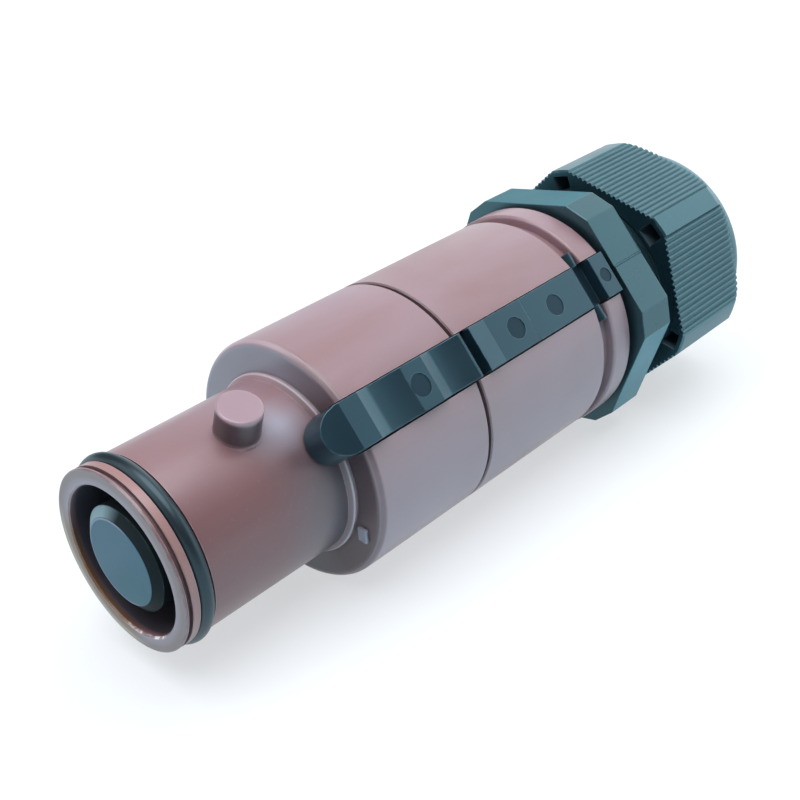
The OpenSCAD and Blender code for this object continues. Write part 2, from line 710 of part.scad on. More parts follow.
// A point on a flat of the nut: distance along the flat and height over its valleys
function on_flat(mid_angle, along, drop) = let (a = nut_af / 2 - drop)
    around(mid_angle + atan2(along, a), norm([along, a]));

// Outline of one rib, from valley to valley
function rib(mid_angle, start) = [
    on_flat(mid_angle, start + rib_pitch * 0.10, rib_depth),
    on_flat(mid_angle, start + rib_pitch * 0.34, 0),
    on_flat(mid_angle, start + rib_pitch * 0.66, 0),
    on_flat(mid_angle, start + rib_pitch * 0.90, rib_depth)];

module nut_section() {
    polygon([for (k = [0:5]) let (corner = nut_turn + side_angle * k, mid = corner + half_side) each concat(
        [for (i = [-2:2]) around(corner + nut_corner_angle * i / 2, nut_corner_r)],
        [for (i = [0:rib_count - 1]) each rib(mid, (i - rib_count / 2) * rib_pitch)])]);
}

// Gland nut: ribbed hexagon with cored corners, collar and rounded cable end, with a closing cone inside
module gland_nut() {
    ribs_end_x = nut_x + ribbed_length;
    collar_x = ribs_end_x + collar_groove_w;
    collar_r = dome_d / 2;
    groove_r = collar_r - collar_groove_depth;
    outer_r = nut_corner_r + 0.1;
    front_bevel = 0.5;
    entry_bevel = 0.8;
    rim_x = nut_end_x - 0.6;
    bore_r = cable_bore_d / 2;
    mouth_r = bore_r + mouth_flare;
    cone_x = neck_end_x + nut_travel;
    pocket_r = nut_thread_r + pocket_wall;
    color(shell_black) difference() {
        union() {
            intersection() {
                prism(nut_x, ribs_end_x) nut_section();
                turned(concat([[0, nut_x], [outer_r - front_bevel, nut_x], [outer_r, nut_x + front_bevel]],
                    arc(outer_r - rib_end_r, ribs_end_x - rib_end_r, rib_end_r, 0, 90, 4),
                    [[0, ribs_end_x]]));
            }
            turned(concat([[0, ribs_end_x - cut], [groove_r, ribs_end_x - cut],
                [groove_r, collar_x], [collar_r, collar_x + collar_groove_depth]],
                arc(collar_r - dome_r, nut_end_x - dome_r, dome_r, 0, 90, 8), [[0, nut_end_x]]));
        }
        turned([[0, nut_x - cut], [nut_thread_r + entry_bevel + cut, nut_x - cut],
            [nut_thread_r, nut_x + entry_bevel],
            [nut_thread_r, cone_x], [washer_seat_r, washer_x], [washer_seat_r, washer_end_x],
            [bore_r, washer_end_x], [bore_r, nut_end_x - mouth_length], [mouth_r, rim_x],
            [mouth_r, nut_end_x + cut], [0, nut_end_x + cut]]);
        for (k = [0:5]) rotate([nut_turn + side_angle * k, 0, 0])
            translate([nut_x - cut, -pocket_w / 2, pocket_r])
                cube([pocket_depth + cut, pocket_w, nut_corner_r - pocket_skin - pocket_r]);
    }
}

front_shell();
rear_housing();
nose_o_ring();
contact_tip_cap();
contact_pin();
contact_seal();
contact_carrier();
carrier_seal();
contact_retaining_ring();
housing_joint_seal();
clamp_screw_front();
clamp_screw_rear();
latch_lever();
gland_body();
gland_gasket();
clamping_cage();
sealing_bush();
thrust_washer();
gland_nut();
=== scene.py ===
import math

import bmesh
import bpy
from mathutils import Matrix, Vector


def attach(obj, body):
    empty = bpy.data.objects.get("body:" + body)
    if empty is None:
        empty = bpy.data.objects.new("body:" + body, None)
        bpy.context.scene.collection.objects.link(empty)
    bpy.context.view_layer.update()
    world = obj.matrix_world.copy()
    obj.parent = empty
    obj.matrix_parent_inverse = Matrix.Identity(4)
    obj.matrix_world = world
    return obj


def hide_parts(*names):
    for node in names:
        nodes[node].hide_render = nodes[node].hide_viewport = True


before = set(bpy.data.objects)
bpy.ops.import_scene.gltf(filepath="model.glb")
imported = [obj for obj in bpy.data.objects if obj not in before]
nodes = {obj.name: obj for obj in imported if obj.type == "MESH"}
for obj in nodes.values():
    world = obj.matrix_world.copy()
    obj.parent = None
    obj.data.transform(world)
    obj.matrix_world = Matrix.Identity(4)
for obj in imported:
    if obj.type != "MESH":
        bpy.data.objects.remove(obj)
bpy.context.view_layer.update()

MM = 0.001

# Camera at the photograph's viewing angle
CAMERA_PLACE = Vector((-0.08684, -0.16101, 0.13341))
CAMERA_FORWARD = Vector((0.6066, 0.6102, -0.5096))
CAMERA_UP = Vector((0.4089, 0.3104, 0.8583))
LENS = 55.18
SENSOR_WIDTH = 36.0
SEEN_FROM, SEEN_TO = 0.01, 20.0


def aim_camera():
    data = bpy.data.cameras.new("photo_camera")
    data.sensor_width = SENSOR_WIDTH
    data.lens = LENS
    data.clip_start = SEEN_FROM
    data.clip_end = SEEN_TO
    camera = bpy.data.objects.new("photo_camera", data)
    bpy.context.scene.collection.objects.link(camera)
    forward = CAMERA_FORWARD.normalized()
    right = forward.cross(CAMERA_UP).normalized()
    up = right.cross(forward)
    turn = Matrix((right, up, -forward)).transposed().to_4x4()
    camera.matrix_world = Matrix.Translation(CAMERA_PLACE) @ turn
    bpy.context.scene.camera = camera


aim_camera()

# Stations and radii of the plug in millimetres, as in the part's source
MOUTH_EDGE = 0.35
LIP_LINE_END = 1.5
NOSE_BORE_R = 15.35
NOSE_R = 18.6
LUG_TOP_R = 24.8
COLLAR_R = 19.6
COLLAR_CONE_X = 39.0
SHOULDER_X = 40.6
JOINT = (72.0, 72.9)
LATCH_ANGLE = math.radians(51.0)
LATCH_HALF_W = 4.8
TIP_FACE_R = 8.85
THREAD_FROM, THREAD_TO = 137.1, 151.4
NECK_R = 22.5


def add_node(tree, kind, values=None, **settings):
    node = tree.nodes.new(kind)
    for name, value in settings.items():
        setattr(node, name, value)
    for name, value in (values or {}).items():
        node.inputs[name].default_value = value
    return node


def wire(tree, value, socket):
    """Links an output to a socket, or sets the socket to a plain value."""
    if isinstance(value, (int, float, tuple)):
        socket.default_value = value
    else:
        tree.links.new(value, socket)


def maths(tree, operation, a, b=None, clamp=False):
    node = add_node(tree, "ShaderNodeMath", operation=operation, use_clamp=clamp)
    wire(tree, a, node.inputs[0])
    if b is not None:
        wire(tree, b, node.inputs[1])
    return node.outputs[0]


def product(tree, *factors):
    value = factors[0]
    for factor in factors[1:]:
        value = maths(tree, "MULTIPLY", value, factor)
    return value


def span(tree, value, low, high, to_low=0.0, to_high=1.0):
    node = add_node(tree, "ShaderNodeMapRange", {"From Min": low, "From Max": high,
                                                 "To Min": to_low, "To Max": to_high})
    tree.links.new(value, node.inputs["Value"])
    return node.outputs["Result"]


def blend_colours(tree, factor, a, b, kind="MIX"):
    node = add_node(tree, "ShaderNodeMix", data_type="RGBA", blend_type=kind)
    wire(tree, factor, node.inputs[0])
    wire(tree, a, node.inputs[6])
    wire(tree, b, node.inputs[7])
    return node.outputs[2]


def new_group(name, inputs, outputs):
    group = bpy.data.node_groups.new(name, "ShaderNodeTree")
    for label, kind, default in inputs:
        socket = group.interface.new_socket(name=label, in_out="INPUT", socket_type=kind)
        if default is not None:
            socket.default_value = default
    for label, kind in outputs:
        group.interface.new_socket(name=label, in_out="OUTPUT", socket_type=kind)
    return group, group.nodes.new("NodeGroupInput"), group.nodes.new("NodeGroupOutput")


FLOAT = "NodeSocketFloat"
VECTOR = "NodeSocketVector"
WHITE = (1.0, 1.0, 1.0, 1.0)


def make_mould_grain():
    """Fine texture of a mould's surface, its slow flow marks and small bright specks."""
    group, given, result = new_group(
        "mould_grain",
        [("Vector", VECTOR, None), ("Grain Scale", FLOAT, 4200.0), ("Flow Scale", FLOAT, 30.0)],
        [("Height", FLOAT), ("Flow", FLOAT), ("Specks", FLOAT)])
    link = group.links.new
    grain = add_node(group, "ShaderNodeTexNoise", {"Detail": 3.0, "Roughness": 0.6})
    link(given.outputs["Vector"], grain.inputs["Vector"])
    link(given.outputs["Grain Scale"], grain.inputs["Scale"])
    stretch = add_node(group, "ShaderNodeMapping", {"Scale": (0.45, 1.0, 1.0)})
    link(given.outputs["Vector"], stretch.inputs["Vector"])
    flow = add_node(group, "ShaderNodeTexNoise", {"Detail": 4.0, "Roughness": 0.5, "Distortion": 0.6})
    link(stretch.outputs["Vector"], flow.inputs["Vector"])
    link(given.outputs["Flow Scale"], flow.inputs["Scale"])
    specks = add_node(group, "ShaderNodeTexVoronoi", feature="F1")
    link(given.outputs["Vector"], specks.inputs["Vector"])
    link(maths(group, "MULTIPLY", given.outputs["Grain Scale"], 0.22), specks.inputs["Scale"])
    link(grain.outputs["Fac"], result.inputs["Height"])
    link(span(group, flow.outputs["Fac"], 0.3, 0.7), result.inputs["Flow"])
    link(span(group, specks.outputs["Distance"], 0.16, 0.08), result.inputs["Specks"])
    return group


def make_edge_wear_and_highlight():
    """Mask of outer edges, broken up as handling breaks them: pale wear there, and a painted highlight along
    them.
    """
    group, given, result = new_group(
        "edge_wear_and_highlight",
        [("Vector", VECTOR, None), ("Amount", FLOAT, 0.5)],
        [("Edge", FLOAT)])
    link = group.links.new
    rounded = add_node(group, "ShaderNodeBevel", {"Radius": 0.35 * MM}, samples=4)
    facing = add_node(group, "ShaderNodeNewGeometry")
    compare = add_node(group, "ShaderNodeVectorMath", operation="DOT_PRODUCT")
    link(rounded.outputs["Normal"], compare.inputs[0])
    link(facing.outputs["Normal"], compare.inputs[1])
    edge = span(group, compare.outputs["Value"], 0.995, 0.9)
    breaks = add_node(group, "ShaderNodeTexNoise", {"Scale": 420.0, "Detail": 3.0})
    link(given.outputs["Vector"], breaks.inputs["Vector"])
    broken = maths(group, "MULTIPLY", edge, span(group, breaks.outputs["Fac"], 0.35, 0.6))
    link(maths(group, "MULTIPLY", broken, given.outputs["Amount"], clamp=True), result.inputs["Edge"])
    return group


def make_crevice_grime_and_shade():
    """Mask of grooves, slots, inner corners and faces closed in by other parts, from ambient occlusion: grime
    gathers there, and painted shade darkens them.
    """
    group, given, result = new_group(
        "crevice_grime_and_shade",
        [("Vector", VECTOR, None), ("Reach", FLOAT, 2.5 * MM), ("Amount", FLOAT, 0.8)],
        [("Grime And Shade", FLOAT)])
    link = group.links.new
    shade = add_node(group, "ShaderNodeAmbientOcclusion", samples=6)
    link(given.outputs["Reach"], shade.inputs["Distance"])
    closed = span(group, shade.outputs["AO"], 0.80, 0.30)
    blots = add_node(group, "ShaderNodeTexNoise", {"Scale": 260.0, "Detail": 2.0})
    link(given.outputs["Vector"], blots.inputs["Vector"])
    uneven = maths(group, "MULTIPLY", closed, span(group, blots.outputs["Fac"], 0.2, 0.6, 0.75, 1.0))
    link(maths(group, "MULTIPLY", uneven, given.outputs["Amount"], clamp=True), result.inputs["Grime And Shade"])
    return group


def make_handling():
    """Slow changes of gloss where hands have been, and fine scuffs along the plug."""
    group, given, result = new_group(
        "handling",
        [("Vector", VECTOR, None)],
        [("Gloss", FLOAT), ("Scuffs", FLOAT)])
    link = group.links.new
    patches = add_node(group, "ShaderNodeTexNoise", {"Scale": 55.0, "Detail": 2.0, "Roughness": 0.5})
    link(given.outputs["Vector"], patches.inputs["Vector"])
    stretch = add_node(group, "ShaderNodeMapping", {"Rotation": (0.0, 0.5, 0.4),
                                                    "Scale": (90.0, 1400.0, 900.0)})
    link(given.outputs["Vector"], stretch.inputs["Vector"])
    scuffs = add_node(group, "ShaderNodeTexNoise", {"Scale": 1.0, "Detail": 2.0})
    link(stretch.outputs["Vector"], scuffs.inputs["Vector"])
    link(span(group, patches.outputs["Fac"], 0.3, 0.7), result.inputs["Gloss"])
    link(span(group, scuffs.outputs["Fac"], 0.68, 0.78), result.inputs["Scuffs"])
    return group


def make_turned_rings():
    """Fine rings that a lathe tool leaves round the axis of the plug."""
    group, given, result = new_group(
        "turned_rings",
        [("Vector", VECTOR, None), ("Pitch Scale", FLOAT, 6000.0)],
        [("Height", FLOAT), ("Tarnish", FLOAT)])
    link = group.links.new
    along = add_node(group, "ShaderNodeSeparateXYZ")
    link(given.outputs["Vector"], along.inputs["Vector"])
    rings = add_node(group, "ShaderNodeTexNoise", noise_dimensions="1D")
    rings.inputs["Detail"].default_value = 3.0
    link(along.outputs["X"], rings.inputs["W"])
    link(given.outputs["Pitch Scale"], rings.inputs["Scale"])
    tarnish = add_node(group, "ShaderNodeTexNoise", {"Scale": 160.0, "Detail": 4.0})
    link(given.outputs["Vector"], tarnish.inputs["Vector"])
    link(rings.outputs["Fac"], result.inputs["Height"])
    link(span(group, tarnish.outputs["Fac"], 0.45, 0.75), result.inputs["Tarnish"])
    return group


def make_axis_place():
    """Station along the plug's axis and distance from it in millimetres.

    Side and Rise say how far round a place is towards the near side and towards the top, from -1 to 1.
    """
    group, given, result = new_group(
        "axis_place",
        [("Vector", VECTOR, None)],
        [("Station", FLOAT), ("Radius", FLOAT), ("Side", FLOAT), ("Rise", FLOAT)])
    link = group.links.new
    split = add_node(group, "ShaderNodeSeparateXYZ")
    link(given.outputs["Vector"], split.inputs["Vector"])
    across = add_node(group, "ShaderNodeCombineXYZ")
    link(split.outputs["Y"], across.inputs["Y"])
    link(split.outputs["Z"], across.inputs["Z"])
    length = add_node(group, "ShaderNodeVectorMath", operation="LENGTH")
    link(across.outputs["Vector"], length.inputs[0])
    link(maths(group, "MULTIPLY", split.outputs["X"], 1.0 / MM), result.inputs["Station"])
    link(maths(group, "MULTIPLY", length.outputs["Value"], 1.0 / MM), result.inputs["Radius"])
    aside = maths(group, "DIVIDE", split.outputs["Y"], length.outputs["Value"])
    link(maths(group, "MULTIPLY", aside, -1.0), result.inputs["Side"])
    link(maths(group, "DIVIDE", split.outputs["Z"], length.outputs["Value"]), result.inputs["Rise"])
    return group


MOULD_GRAIN = make_mould_grain()
EDGE_WEAR_AND_HIGHLIGHT = make_edge_wear_and_highlight()
CREVICE_GRIME_AND_SHADE = make_crevice_grime_and_shade()
HANDLING = make_handling()
TURNED_RINGS = make_turned_rings()
AXIS_PLACE = make_axis_place()


def place_group(tree, group, vector, values=None):
    node = tree.nodes.new("ShaderNodeGroup")
    node.node_tree = group
    tree.links.new(vector, node.inputs["Vector"])
    for name, value in (values or {}).items():
        node.inputs[name].default_value = value
    return node


def start_material(name, roughness, metallic=0.0, ior=1.5, specular=0.5, tint=WHITE):
    material = bpy.data.materials.new(name)
    material.use_nodes = True
    tree = material.node_tree
    tree.nodes.clear()
    output = tree.nodes.new("ShaderNodeOutputMaterial")
    shader = add_node(tree, "ShaderNodeBsdfPrincipled", {
        "Roughness": roughness, "Metallic": metallic, "IOR": ior, "Specular IOR Level": specular,
        "Specular Tint": tint})
    tree.links.new(shader.outputs["BSDF"], output.inputs["Surface"])
    place = add_node(tree, "ShaderNodeTexCoord")
    return material, tree, shader, place.outputs["Object"]


def small_patches(tree, place, scale, low, high):
    """Mask of scattered small patches."""
    noise = add_node(tree, "ShaderNodeTexNoise", {"Scale": scale, "Detail": 2.0})
    tree.links.new(place, noise.inputs["Vector"])
    return span(tree, noise.outputs["Fac"], low, high)


def mask_within(tree, where, *limits):
    """Mask of the places inside all the limits, each a measure and the values at which it is none and full."""
    return product(tree, *(span(tree, where.outputs[measure], *ends) for measure, *ends in limits))


def stain(tree, colour, tint, strength, mask):
    """The colour, tinted as strongly as the strength and the mask say."""
    return blend_colours(tree, product(tree, mask, strength), colour, tint)


SIDE_REFLECTION_GREY = (0.300, 0.255, 0.290, 1.0)
JOINT_DIRT = (0.085, 0.050, 0.058, 1.0)


def colour_barrel(tree, where, colour):
    """A painted reflection that makes the near side a greyer brown, and the dirt on both sides of the joint
    between the shells.
    """
    # Painted reflection: the near side greyed as if it mirrored the pale floor.
    colour = stain(tree, colour, SIDE_REFLECTION_GREY, 0.55, mask_within(tree, where, ("Side", 0.70, 0.95)))
    beside_joint = mask_within(tree, where, ("Station", JOINT[0] - 0.5, JOINT[0] - 0.1),
                               ("Station", JOINT[1] + 0.5, JOINT[1] + 0.1))
    return stain(tree, colour, JOINT_DIRT, 0.65, beside_joint)


NEAR_NOSE_RED = (0.150, 0.044, 0.044, 1.0)
NEAR_NOSE_GREY = (0.098, 0.079, 0.092, 1.0)
PAINTED_HIGHLIGHT_BLUE = (0.40, 0.41, 0.53, 1.0)


def tint_nose(tree, where, colour):
    """The nose darker on its near side, redder in front and greyer behind, and a painted highlight, a pale blue
    haze, beside the lug.
    """
    # Darker on the nose's near side, redder in front and greyer behind.
    toned = blend_colours(tree, mask_within(tree, where, ("Station", 22.0, 37.0)), NEAR_NOSE_RED, NEAR_NOSE_GREY)
    near_side = mask_within(tree, where, ("Station", COLLAR_CONE_X + 0.6, COLLAR_CONE_X),
                            ("Radius", COLLAR_R + 0.4, COLLAR_R - 0.2), ("Side", 0.35, 0.8, 0.1, 1.0))
    colour = stain(tree, colour, toned, 0.85, near_side)
    # Painted highlight: a pale blue haze beside the lug.
    lug_highlight = mask_within(tree, where, ("Station", 24.0, 31.5), ("Station", 39.5, 33.0), ("Rise", 0.2, 0.5),
                       ("Side", 0.15, 0.44), ("Side", 0.75, 0.50))
    return stain(tree, colour, PAINTED_HIGHLIGHT_BLUE, 0.65, lug_highlight)


LUG_PAINTED_SHADE = (0.026, 0.016, 0.020, 1.0)
LUG_PAINTED_LIGHT = (0.350, 0.230, 0.270, 1.0)


def shade_lugs(tree, where, colour):
    """Painted shade on the lugs' sides and painted light on their tops."""
    # Painted shade on the lugs' sides.
    sides = mask_within(tree, where, ("Station", COLLAR_CONE_X - 2.0, COLLAR_CONE_X - 3.0),
                        ("Radius", NOSE_R + 0.2, NOSE_R + 1.0), ("Radius", LUG_TOP_R - 0.2, LUG_TOP_R - 1.0))
    colour = stain(tree, colour, LUG_PAINTED_SHADE, 0.88, sides)
    # Painted light on the lugs' tops.
    tops = mask_within(tree, where, ("Radius", LUG_TOP_R - 0.6, LUG_TOP_R - 0.2),
                       ("Station", SHOULDER_X - 2.0, SHOULDER_X - 3.0))
    return stain(tree, colour, LUG_PAINTED_LIGHT, 1.0, tops)


CONE_PAINTED_SHADE = (0.120, 0.062, 0.074, 1.0)
COLLAR_PAINTED_HIGHLIGHT = (0.600, 0.540, 0.600, 1.0)


def shade_collar(tree, where, colour):
    """The collar at the root of the nose: painted shade on its cone's near side and a painted highlight, a pale
    line, along its edge.
    """
    # Painted shade on the near side of the collar's cone.
    cone = mask_within(tree, where, ("Station", COLLAR_CONE_X - 0.2, COLLAR_CONE_X + 0.2),
                       ("Station", SHOULDER_X + 0.1, SHOULDER_X), ("Radius", COLLAR_R + 0.9, COLLAR_R + 0.6),
                       ("Side", -0.2, 0.2))
    colour = stain(tree, colour, CONE_PAINTED_SHADE, 0.7, cone)
    # Painted highlight: a pale line along the collar's edge.
    edge = mask_within(tree, where, ("Radius", COLLAR_R - 0.35, COLLAR_R - 0.15),
                       ("Radius", COLLAR_R + 0.5, COLLAR_R + 0.3),
                       ("Station", COLLAR_CONE_X, COLLAR_CONE_X + 0.3),
                       ("Station", SHOULDER_X, SHOULDER_X - 0.1))
    return stain(tree, colour, COLLAR_PAINTED_HIGHLIGHT, 0.7, edge)


SHOULDER_PAINTED_LIGHT = (0.215, 0.212, 0.262, 1.0)
SHOULDER_PAINTED_SHADE = (0.058, 0.034, 0.040, 1.0)
ROUNDING_PAINTED_SHADE = (0.120, 0.070, 0.085, 1.0)
ROUNDING_PAINTED_HIGHLIGHT = (0.560, 0.470, 0.520, 1.0)


def shade_shoulder(tree, where, colour):
    """The shoulder's face, painted light above and painted shade on the near side, and its rounding, a painted
    highlight above and brown painted shade on the near side.
    """
    # Painted light on the face's upper, far part and painted shade on its near side.
    face = mask_within(tree, where, ("Station", SHOULDER_X + 0.3, SHOULDER_X + 0.1),
                       ("Station", SHOULDER_X - 0.2, SHOULDER_X - 0.1), ("Radius", COLLAR_R, COLLAR_R + 0.15))
    shade = blend_colours(tree, mask_within(tree, where, ("Side", 0.05, 0.6)), SHOULDER_PAINTED_LIGHT, SHOULDER_PAINTED_SHADE)
    colour = stain(tree, colour, shade, 0.88, face)
    # Painted shade on the rounding's near side.
    near_rounding = mask_within(tree, where, ("Station", SHOULDER_X + 0.1, SHOULDER_X + 0.4),
                                ("Station", SHOULDER_X + 1.6, SHOULDER_X + 1.0), ("Side", 0.0, 0.4))
    colour = stain(tree, colour, ROUNDING_PAINTED_SHADE, 0.7, near_rounding)
    # Painted highlight on the rounding's upper part.
    upper_rounding = mask_within(tree, where, ("Station", SHOULDER_X + 0.2, SHOULDER_X + 0.5),
                                 ("Station", SHOULDER_X + 1.5, SHOULDER_X + 0.9), ("Side", 0.30, 0.0),
                                 ("Rise", -0.1, 0.3))
    return stain(tree, colour, ROUNDING_PAINTED_HIGHLIGHT, 0.6, upper_rounding)


BAND_RED = (0.42, 0.220, 0.200, 1.0)
LIP_REFLECTION_GREY = (0.215, 0.185, 0.230, 1.0)
LIP_REFLECTION_BROWN = (0.140, 0.106, 0.108, 1.0)
EDGE_HIGHLIGHT_BEIGE = (0.360, 0.310, 0.220, 1.0)
INNER_EDGE_SHADE_BROWN = (0.150, 0.062, 0.014, 1.0)
GLINT_PALE = (0.800, 0.700, 0.680, 1.0)
CAVITY_PAINTED_SHADE = (0.045, 0.042, 0.055, 1.0)


def tint_mouth(tree, place, where, colour):
    """The band behind the lip, painted reflection on the lip's face, a painted highlight and painted shade on
    its far edges with painted glints, and painted shade in the cavity.
    """
    band = mask_within(tree, where, ("Station", LIP_LINE_END, LIP_LINE_END + 0.3), ("Station", 3.4, 3.0),
                       ("Radius", NOSE_R - 1.0, NOSE_R - 0.3))
    colour = stain(tree, colour, BAND_RED, 0.6, band)
    # Painted reflection on the lip's face, grey inside and brown towards its outer edge.
    face = mask_within(tree, where, ("Station", MOUTH_EDGE, MOUTH_EDGE - 0.15), ("Radius", 15.2, 15.6))
    lip_reflection = blend_colours(tree, mask_within(tree, where, ("Radius", 16.0, 17.4)), LIP_REFLECTION_GREY, LIP_REFLECTION_BROWN)
    colour = stain(tree, colour, lip_reflection, 0.85, face)
    # On the mouth's far, lower side: a painted highlight along the outer edge and orange-brown painted shade on
    # the inner edge.
    far_side = mask_within(tree, where, ("Side", 0.25, -0.15), ("Rise", 0.35, -0.05))
    outer_edge = mask_within(tree, where, ("Radius", 16.9, 17.5), ("Station", 0.8, 0.3))
    colour = stain(tree, colour, EDGE_HIGHLIGHT_BEIGE, 0.8, product(tree, outer_edge, far_side))
    inner_edge = mask_within(tree, where, ("Radius", 17.5, 16.4), ("Station", 1.6, 0.9))
    colour = stain(tree, colour, INNER_EDGE_SHADE_BROWN, 0.95, product(tree, inner_edge, far_side))
    # Painted glints along the lowest inner edge of the mouth.
    lowest_edge = mask_within(tree, where, ("Radius", NOSE_BORE_R + 0.5, NOSE_BORE_R + 0.3),
                              ("Station", 0.6, 0.3), ("Rise", -0.72, -0.8), ("Side", -0.2, -0.1))
    glints = product(tree, lowest_edge, small_patches(tree, place, 500.0, 0.45, 0.6))
    colour = stain(tree, colour, GLINT_PALE, 1.0, glints)
    # Painted shade: the cavity dark past the lip.
    cavity_shade = mask_within(tree, where, ("Radius", NOSE_BORE_R + 0.4, NOSE_BORE_R + 0.1), ("Station", 0.5, 1.7))
    return stain(tree, colour, CAVITY_PAINTED_SHADE, 0.98, cavity_shade)


def front_colours(tree, place, colour):
    """The front shell's tints and its painted light and shade, from its barrel to its mouth."""
    where = place_group(tree, AXIS_PLACE, place)
    for tinted in (colour_barrel, tint_nose, shade_lugs, shade_collar, shade_shoulder):
        colour = tinted(tree, where, colour)
    return tint_mouth(tree, place, where, colour)


def rear_colours(tree, place, colour):
    return colour_barrel(tree, place_group(tree, AXIS_PLACE, place), colour)


TIP_BEVEL_HIGHLIGHT = (0.230, 0.330, 0.360, 1.0)
TIP_EDGE_HIGHLIGHT = (0.300, 0.300, 0.420, 1.0)


def tip_side_colours(tree, place, colour):
    """A painted highlight on the top of the tip's bevel, on its far side."""
    where = place_group(tree, AXIS_PLACE, place)
    # Painted highlight on the upper, far part of the bevel.
    bevel = mask_within(tree, where, ("Radius", TIP_FACE_R, TIP_FACE_R + 0.3), ("Side", 0.12, -0.35),
                        ("Station", 1.6, 1.3))
    return stain(tree, colour, TIP_BEVEL_HIGHLIGHT, 1.0, bevel)


def tip_face_colours(tree, place, colour):
    """A pale line round the face, on the side away from the latch: wear, and a painted highlight on its rounded
    edge.
    """
    where = place_group(tree, AXIS_PLACE, place)
    # Wear and a painted highlight round the face's edge.
    line = mask_within(tree, where, ("Radius", TIP_FACE_R - 0.35, TIP_FACE_R - 0.15), ("Side", 0.5, 0.2))
    return stain(tree, colour, TIP_EDGE_HIGHLIGHT, 0.6, line)


GLOSS_CHANGE = 0.05
SCUFF_DULLING = 0.08
CREVICE_DULLING = 0.3


def moulded_plastic(name, colour, flow_colour, edge_colour, grime_shade_colour, roughness, ior=1.5, specular=0.5,
                    tint=WHITE, grain_scale=4200.0, grain_height=0.02, flow_scale=30.0,
                    edge_amount=0.5, speck_amount=0.15, grime_shade_reach=2.5, grime_shade_amount=0.8, tints=None):
    material, tree, shader, place = start_material(name, roughness, ior=ior, specular=specular, tint=tint)
    link = tree.links.new
    grain = place_group(tree, MOULD_GRAIN, place, {"Grain Scale": grain_scale, "Flow Scale": flow_scale})
    edge_mask = place_group(tree, EDGE_WEAR_AND_HIGHLIGHT, place, {"Amount": edge_amount})
    grime_and_shade = place_group(tree, CREVICE_GRIME_AND_SHADE, place, {"Reach": grime_shade_reach * MM, "Amount": grime_shade_amount})
    hands = place_group(tree, HANDLING, place)
    body = blend_colours(tree, grain.outputs["Flow"], colour, flow_colour)
    if tints:
        body = tints(tree, place, body)
    specked = blend_colours(tree, product(tree, grain.outputs["Specks"], speck_amount), body, edge_colour)
    # Pale edges: wear, and a painted highlight along them.
    toned = blend_colours(tree, edge_mask.outputs["Edge"], specked, edge_colour)
    # Painted shade and grime darken the grooves, slots, inner corners and closed-in faces.
    link(blend_colours(tree, grime_and_shade.outputs["Grime And Shade"], toned, grime_shade_colour), shader.inputs["Base Color"])
    gloss = span(tree, hands.outputs["Gloss"], 0.0, 1.0, roughness - GLOSS_CHANGE, roughness + GLOSS_CHANGE)
    scuffed = maths(tree, "ADD", gloss, product(tree, hands.outputs["Scuffs"], SCUFF_DULLING))
    dull = maths(tree, "ADD", scuffed, product(tree, grime_and_shade.outputs["Grime And Shade"], CREVICE_DULLING), clamp=True)
    link(dull, shader.inputs["Roughness"])
    bump = add_node(tree, "ShaderNodeBump", {"Strength": 0.5, "Distance": grain_height * MM})
    link(grain.outputs["Height"], bump.inputs["Height"])
    link(bump.outputs["Normal"], shader.inputs["Normal"])
    return material


TARNISH_AMOUNT = 0.3
TARNISH_DULLING = 0.15


def turned_metal(name, colour, tarnish_colour, roughness):
    material, tree, shader, place = start_material(name, roughness, metallic=1.0)
    link = tree.links.new
    rings = place_group(tree, TURNED_RINGS, place)
    link(stain(tree, colour, tarnish_colour, TARNISH_AMOUNT, rings.outputs["Tarnish"]),
         shader.inputs["Base Color"])
    link(span(tree, rings.outputs["Tarnish"], 0.0, 1.0, roughness, roughness + TARNISH_DULLING),
         shader.inputs["Roughness"])
    bump = add_node(tree, "ShaderNodeBump", {"Strength": 0.4, "Distance": 0.01 * MM})
    link(rings.outputs["Height"], bump.inputs["Height"])
    link(bump.outputs["Normal"], shader.inputs["Normal"])
    return material


def brown_moulding(name, grime_shade_amount=0.95, tints=None):
    return moulded_plastic(
        name, colour=(0.322, 0.200, 0.236, 1.0), flow_colour=(0.270, 0.142, 0.146, 1.0),
        edge_colour=(0.50, 0.40, 0.42, 1.0), grime_shade_colour=(0.130, 0.070, 0.074, 1.0),
        roughness=0.34, ior=1.6, specular=0.7, grain_scale=3600.0, grain_height=0.012, flow_scale=45.0,
        edge_amount=0.6, speck_amount=0.08, grime_shade_reach=2.2, grime_shade_amount=grime_shade_amount, tints=tints)


BLACK_FLOW_SHADE = 0.75


def black_moulding(name, colour=(0.010, 0.024, 0.034, 1.0), grime_shade_colour=(0.0060, 0.0105, 0.0135, 1.0),
                   roughness=0.26, ior=1.8, specular=1.0, tint=(0.30, 0.58, 0.70, 1.0), edge_amount=0.5,
                   grime_shade_reach=2.5, grime_shade_amount=0.85, tints=None):
    return moulded_plastic(
        name, colour=colour, flow_colour=tuple(BLACK_FLOW_SHADE * part for part in colour[:3]) + (1.0,),
        edge_colour=(0.10, 0.17, 0.21, 1.0), grime_shade_colour=grime_shade_colour,
        roughness=roughness, ior=ior, specular=specular, tint=tint, grain_scale=5200.0, grain_height=0.010,
        flow_scale=45.0, edge_amount=edge_amount, speck_amount=0.08, grime_shade_reach=grime_shade_reach,
        grime_shade_amount=grime_shade_amount, tints=tints)


